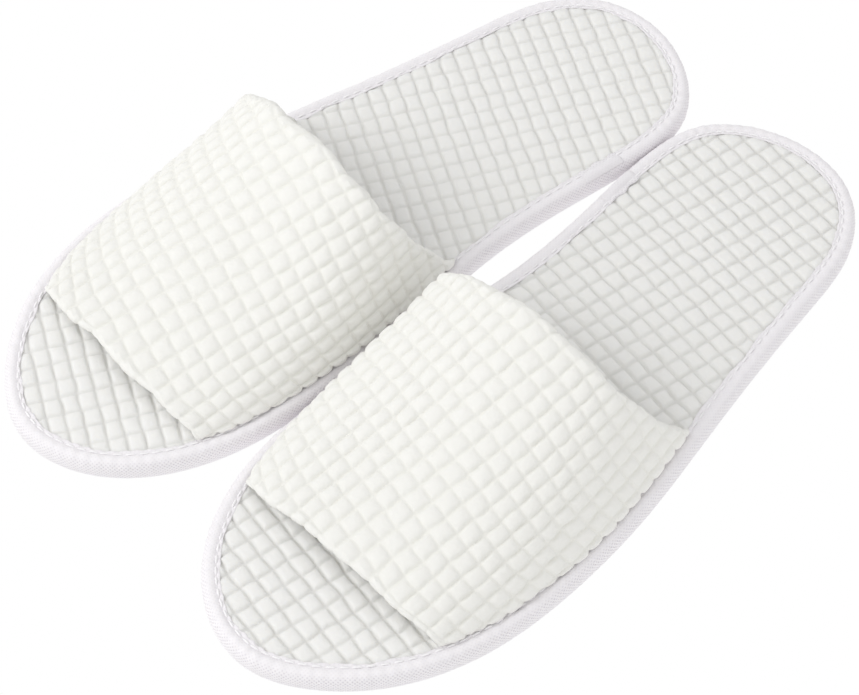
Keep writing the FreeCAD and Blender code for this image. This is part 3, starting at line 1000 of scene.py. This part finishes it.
def build_sole(side, seed):
    """The visible sheets of one sole, and the tape's lap."""
    drawn = {
        "outsole": (joined(slab(OUTSOLE_STEP_INSET, 0.0, OUTSOLE_STEP_Z),
                           slab(FILLING_INSET, OUTSOLE_STEP_Z, OUTSOLE_TOP)), "eva_foam"),
        "insole_foam": (slab(FILLING_INSET, OUTSOLE_TOP, FOAM_TOP), "soft_foam"),
        "insole_cover": (insole_skin(side, seed), "insole_fleece"),
        "edge_binding": (tape_skin(seed + TAPE_SEED), "binding_tape"),
        "binding_stitches": (stitch_skin(), "stitch_thread"),
    }
    for name, (parts, slot) in drawn.items():
        points, faces, uv = parts[:3]
        fields = {"pile": parts[3]} if len(parts) == 4 else None
        piece = add_piece(f"{side}_{name}_soft", side, points, faces.tolist(),
                          FINISHES[slot], uv=uv, fields=fields)
        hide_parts(*halves(side, name))
        bend_with_sole(piece)
    points, faces, uv = lap_skin()
    lap = add_piece(f"{side}_binding_overlap_soft", side, points, faces.tolist(),
                    FINISHES["binding_tape"], uv=uv)
    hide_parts(f"{side}_binding_overlap")
    bend_with_sole(lap)


def build_upper(side, seed):
    """The visible pieces of one upper, which rides on the forefoot."""
    for name, piece in upper_pieces(side, seed, FINISHES["vamp_fleece"]).items():
        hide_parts(f"{side}_{name}")
        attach(piece, f"{side}_forefoot")
    for name, drawn, slot in (("vamp_lining", lining_skin(side), "lining_fabric"),
                              ("vamp_foam", vamp_core(side), "soft_foam")):
        points, faces, uv = drawn
        piece = add_piece(f"{side}_{name}_soft", side, points, faces.tolist(),
                          FINISHES[slot], uv=uv)
        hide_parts(f"{side}_{name}")
        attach(piece, f"{side}_forefoot")
        if name == "vamp_foam":
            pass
        else:
            upper = Upper(side, bulges=False)


for side, seed in SEEDS.items():
    build_sole(side, seed)
    build_upper(side, seed + UPPER_SEED)


# ---- floor, light and camera ----
FLOOR_REACH = 3.0          # metres from the middle of the floor to its sides
AIM = (0.0, 0.0, 0.02)     # both lamps point here, in metres
LAMPS = {                  # place and size in metres, and power in watts
    "key": ((-0.72, -0.86, 0.85), 0.9, 6.7),
    "fill": ((0.95, -0.45, 1.0), 1.2, 2.3),
}
SKY = 0.755                # strength of the even light from all round
CAMERA_PLACE = (0.3861, -0.3649, 0.7172)
CAMERA_AIM = (0.00664, -0.01521, 0.0)
LENS, SENSOR = 107.98, 36  # in millimetres


def backdrop():
    """A floor that glows an even white and takes no shadow."""
    mesh = bpy.data.meshes.new("floor")
    r = FLOOR_REACH
    mesh.from_pydata([(-r, -r, 0), (r, -r, 0), (r, r, 0), (-r, r, 0)], [], [(0, 1, 2, 3)])
    floor = bpy.data.objects.new("floor", mesh)
    bpy.context.scene.collection.objects.link(floor)
    f = Finish("floor", (0, 0, 0), 1.0)
    f.set("Specular IOR Level", 0.0)
    f.set("Emission Color", (1, 1, 1, 1))
    f.set("Emission Strength", 1.0)
    mesh.materials.append(f.material)


def add_aimed(name, data, place, aim):
    """A lamp or a camera at a place, pointed at another."""
    made = bpy.data.objects.new(name, data)
    bpy.context.scene.collection.objects.link(made)
    made.location = place
    made.rotation_euler = (Vector(aim) - made.location).to_track_quat("-Z", "Y").to_euler()
    return made


def studio():
    """A soft key lamp from the front left, a soft fill from the right, and a white sky."""
    for name, (place, size, power) in LAMPS.items():
        light = bpy.data.lights.new(name, "AREA")
        light.size = size
        light.energy = power
        add_aimed(name, light, place, AIM)
    world = bpy.data.worlds.new("studio")
    world.use_nodes = True
    ground = world.node_tree.nodes["Background"]
    ground.inputs["Color"].default_value = (1, 1, 1, 1)
    ground.inputs["Strength"].default_value = SKY
    bpy.context.scene.world = world
    bpy.context.scene.view_settings.view_transform = "Standard"


def camera():
    """A long lens, looking down on the pair from the front right."""
    data = bpy.data.cameras.new("camera")
    data.lens = LENS
    data.sensor_width = SENSOR
    bpy.context.scene.camera = add_aimed("camera", data, CAMERA_PLACE, CAMERA_AIM)


backdrop()
studio()
camera()
